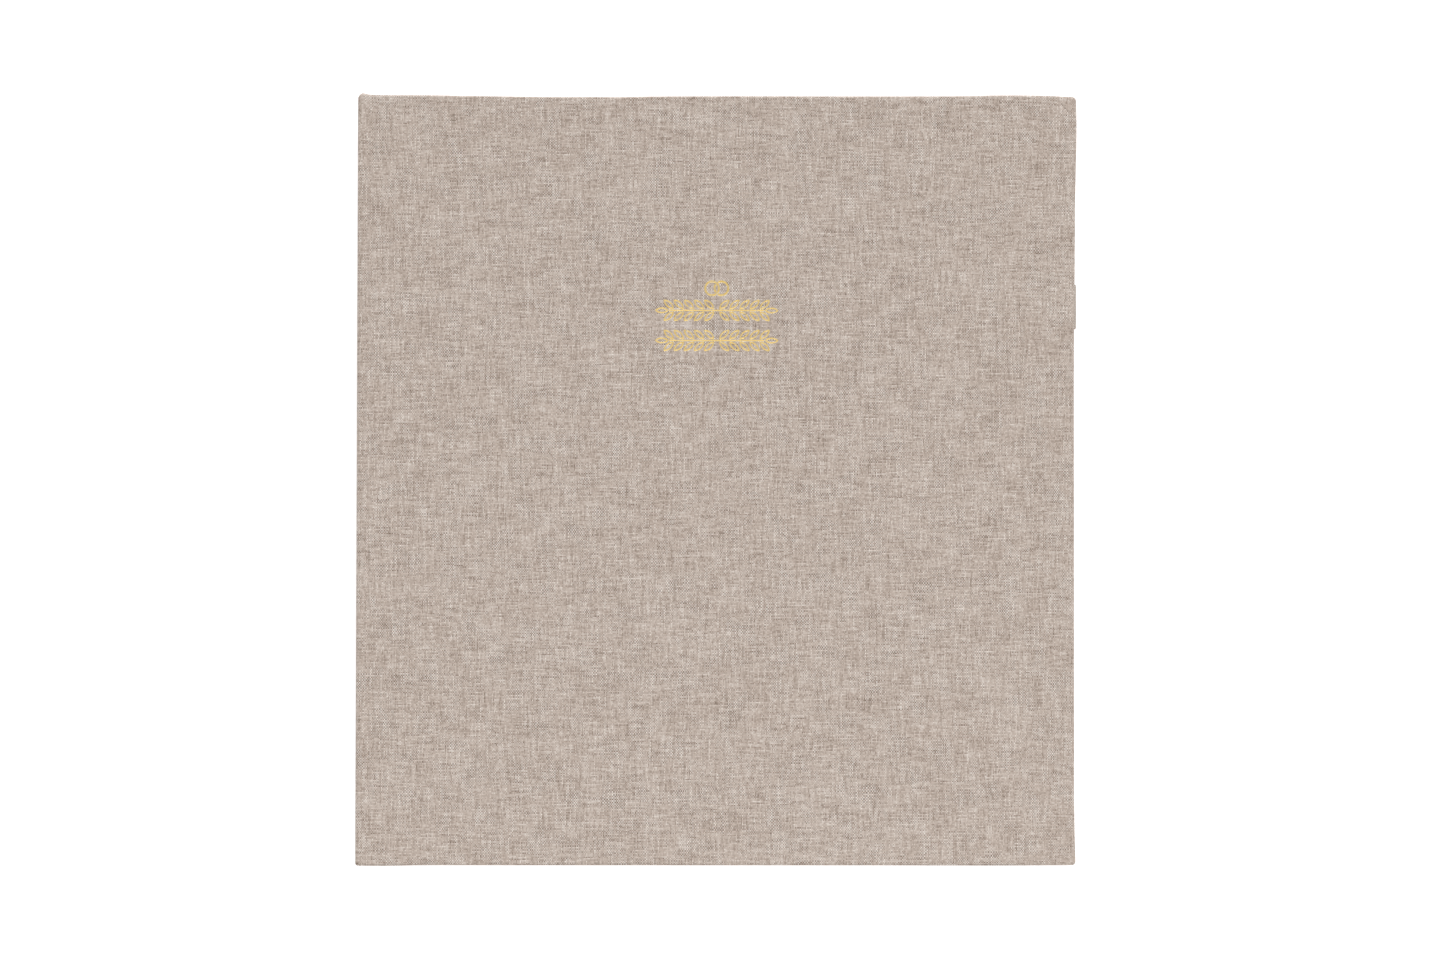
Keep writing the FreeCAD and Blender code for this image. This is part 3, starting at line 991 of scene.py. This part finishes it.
def foil_ornament():
    """Two linked rings over two garlands."""
    skin = Skin()
    ring = 2.67 * MM
    apart = 1.8 * MM
    top = foil_high.y - ring - 0.23 * MM
    foil_stroke(skin, ring_points(FOIL_X - apart, top, ring)[:-1], True, RING_LINE)
    # The second ring stops short of the first wherever it would cross it.
    cross = math.acos(apart / ring)
    shy = 0.22
    over = math.pi - cross
    for start, end in ((-over + shy, over - shy), (over + shy, math.pi + cross - shy)):
        foil_stroke(skin, ring_points(FOIL_X + apart, top, ring, start, end), False, RING_LINE)
    half = (foil_high.x - foil_low.x) / 2
    length = 4.7 * MM
    width = 1.75 * MM
    tilt = math.radians(42)
    stem = half - length - 0.5 * MM
    garlands = (foil_high.y - 11.5 * MM, foil_high.y - 23.2 * MM)
    for y in garlands:
        foil_stroke(skin, [(FOIL_X - stem, y), (FOIL_X + stem, y)])
        for side in (1, -1):
            turned = 0 if side > 0 else math.pi
            tip = leaflet_points(FOIL_X + side * (stem + 0.5 * MM), y, turned, length, width)
            foil_stroke(skin, tip, True)
            for k in range(5):
                x = FOIL_X + side * (1.2 * MM + k * (stem - 2.8 * MM) / 4)
                for up in (1, -1):
                    turned = up * tilt if side > 0 else math.pi - up * tilt
                    start = y + up * 0.75 * MM
                    foil_stroke(skin, leaflet_points(x, start, turned, length, width), True)
    made = skin.piece("gold_foil_ornament", FOIL)
    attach(made, "front_cover")
    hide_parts("foil_ornament")


foil_ornament()


# The boards, cards, papers, tapes and mull keep their own shapes and take their finishes.


def flat_map(node):
    """Gives a CAD node a flat map in millimetres, laid on each face from the side it faces."""
    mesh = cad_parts[node].data
    layer = mesh.uv_layers.get("flat") or mesh.uv_layers.new(name="flat")
    for polygon in mesh.polygons:
        for index in polygon.loop_indices:
            at = mesh.vertices[mesh.loops[index].vertex_index].co
            layer.data[index].uv = ((at.x + at.z) / MM, at.y / MM)


def dressed(node, made):
    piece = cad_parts[node]
    piece.data.materials.clear()
    piece.data.materials.append(made)


for side in ("front", "back"):
    dressed(f"{side}_board", GREYBOARD)
    dressed(f"{side}_filler", CARD)
    dressed(f"{side}_pastedown", ENDPAPER)
    dressed(f"{side}_flyleaf", ENDPAPER)
dressed("spine_board", GREYBOARD)
dressed("spine_liner", CARD)
for half in ("lower", "upper"):
    for node, made in ((f"mull_{half}", MULL), (f"sewing_tapes_{half}", TAPE)):
        flat_map(node)
        dressed(node, made)


# Studio: a white table, a soft light from the head side, a softer one from above.


def table():
    skin = Skin()
    size = 3.0
    rows = []
    for x in steps(-size, size, 1):
        rows.append([(Vector((x, y, -0.1 * MM)), (x, y)) for y in steps(-size, size, 1)])
    skin.patch(rows, flip=True)
    made, tree, shader = finish("white_table", 0.9)
    grain = noise(tree, own_place(tree), 3.0, 2.0)
    shade = mixed(tree, grain, (0.88, 0.88, 0.88, 1), (0.92, 0.92, 0.92, 1))
    joined(tree, shader.inputs["Base Color"], shade)
    shader.inputs["Emission Color"].default_value = (1, 1, 1, 1)
    shader.inputs["Emission Strength"].default_value = 0.45
    skin.piece("table", made)


def soft_light(name, place, size, power, aim=(0, 0, 0)):
    light = bpy.data.lights.new(name, "AREA")
    light.shape = "RECTANGLE"
    light.size, light.size_y = size
    light.energy = power
    lamp = bpy.data.objects.new(name, light)
    lamp.location = place
    lamp.rotation_euler = (Vector(aim) - Vector(place)).to_track_quat("-Z", "Y").to_euler()
    bpy.context.scene.collection.objects.link(lamp)


table()
soft_light("head_side_softbox", (0.5, 7.5, 3.2), (4.5, 3.0), 560)
soft_light("overhead_softbox", (0.2, -1.2, 1.9), (1.8, 1.4), 24)
world = bpy.data.worlds.new("studio")
world.use_nodes = True
world.node_tree.nodes["Background"].inputs["Color"].default_value = (1, 1, 1, 1)
world.node_tree.nodes["Background"].inputs["Strength"].default_value = 0.35
bpy.context.scene.world = world
bpy.context.scene.view_settings.view_transform = "Standard"
bpy.context.scene.cycles.denoising_prefilter = "NONE"

CAMERA_OVER_COVER = 1.6
CAMERA_PLACE = (-0.0065, -0.0437, Z_TOP + CAMERA_OVER_COVER)
CAMERA_LEAN = (1.523, -0.305, 0.085)  # degrees about X, Y and Z, from looking straight down
camera_data = bpy.data.cameras.new("camera")
camera_data.sensor_width = 36
camera_data.lens = 102.68
camera = bpy.data.objects.new("camera", camera_data)
camera.location = CAMERA_PLACE
camera.rotation_euler = [math.radians(a) for a in CAMERA_LEAN]
bpy.context.scene.collection.objects.link(camera)
bpy.context.scene.camera = camera
